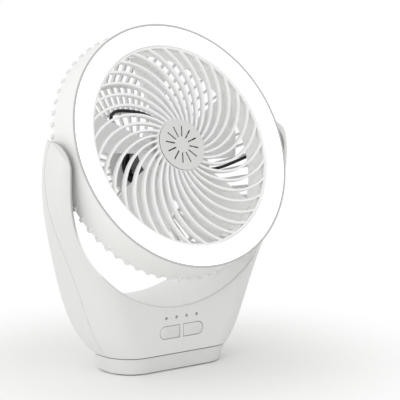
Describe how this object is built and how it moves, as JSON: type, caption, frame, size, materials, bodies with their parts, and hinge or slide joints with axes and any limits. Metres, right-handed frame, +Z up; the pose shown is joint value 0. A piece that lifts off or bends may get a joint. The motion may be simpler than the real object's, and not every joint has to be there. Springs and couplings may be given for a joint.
{
  "type": "rechargeable desk fan",
  "caption": "Cordless desk fan with a lit ring around its spiral grille; the drum head tilts in a U-shaped base with push buttons and a fold-out hook.",
  "frame": {"origin": "On the floor plane, at the middle of the foot pad", "axes": "+Z up, the fan faces -Y, +X to the right as seen from the front"},
  "size_m": [0.2302, 0.1324, 0.2717],
  "materials": {
    "white_shell": "satin white moulded plastic",
    "white_grille": "satin white moulded plastic",
    "button_grey": "smooth white plastic with faint icons",
    "diffuser": "opal diffuser, lit",
    "blade_plastic": "smooth white plastic",
    "black_plastic": "black moulded plastic",
    "lead_black": "black insulated wire",
    "foot_rubber": "grey non-slip rubber",
    "steel": "zinc-plated steel",
    "hook_steel": "polished plated wire",
    "axle_steel": "turned steel",
    "bush_plastic": "natural acetal",
    "bronze": "sintered bronze",
    "black_can": "black lacquered steel",
    "magnet": "ferrite",
    "lamination": "stacked laminations",
    "copper": "enamelled copper wire",
    "circuit": "green solder mask",
    "led_circuit": "white solder mask",
    "led": "LED package",
    "indicator": "clear light pipe",
    "cell_wrap": "blue shrink wrap"
  },
  "bodies": {
    "base": {"yoke_front_shell": "white_shell", "yoke_rear_shell": "white_shell", "base_tray": "white_shell", "foot_pad": "foot_rubber", "base_screws": "steel", "shell_screws": "steel", "indicator_lenses": "indicator", "control_board": "circuit", "tact_switches": "black_plastic", "battery_cells": "cell_wrap", "battery_cradle": "black_plastic", "charge_board": "circuit", "usb_c_socket": "steel", "friction_washer_left": "black_plastic", "friction_washer_right": "black_plastic", "pivot_bush_left": "bush_plastic", "pivot_bush_right": "bush_plastic", "arm_lead": "lead_black"},
    "head": {"drum_housing": "white_shell", "light_diffuser": "diffuser", "led_board": "led_circuit", "led_chips": "led", "front_grille": "white_grille", "grille_cap": "white_grille", "rear_grille": "white_grille", "cover_screws": "steel", "motor_mount": "black_plastic", "mount_screws": "steel", "motor_board": "circuit", "motor_bushes": "bronze", "stator_core": "lamination", "stator_coils": "copper", "motor_lead": "lead_black", "pivot_axle_left": "axle_steel", "pivot_axle_right": "axle_steel", "pivot_clip_left": "steel", "pivot_clip_right": "steel"},
    "impeller": {"fan_blades": "blade_plastic", "blade_nut": "steel", "motor_shaft": "steel", "rotor_can": "black_can", "rotor_magnet": "magnet"},
    "light_key": {"light_button": "button_grey"},
    "fan_key": {"fan_button": "button_grey"},
    "hook": {"hanging_hook": "hook_steel"}
  },
  "joints": [
    {"name": "head_tilt", "type": "hinge", "parent": "base", "child": "head", "pos_m": [0, -0.011, 0.172], "axis": [-1, 0, 0], "range_deg": [-64, 65]},
    {"name": "impeller_spin", "type": "hinge", "parent": "head", "child": "impeller", "pos_m": [0, -0.011, 0.172], "axis": [0, -0.91, 0.4147], "continuous": true},
    {"name": "light_button_press", "type": "slide", "parent": "base", "child": "light_key", "axis": [0, 1, 0], "range_m": [0, 0.0006], "stiffness_N_per_m": 900},
    {"name": "fan_button_press", "type": "slide", "parent": "base", "child": "fan_key", "axis": [0, 1, 0], "range_m": [0, 0.0006], "stiffness_N_per_m": 900},
    {"name": "hook_swing", "type": "hinge", "parent": "base", "child": "hook", "pos_m": [0.007, 0, 0.0036], "axis": [0, 1, 0], "range_deg": [0, 90]}
  ]
}
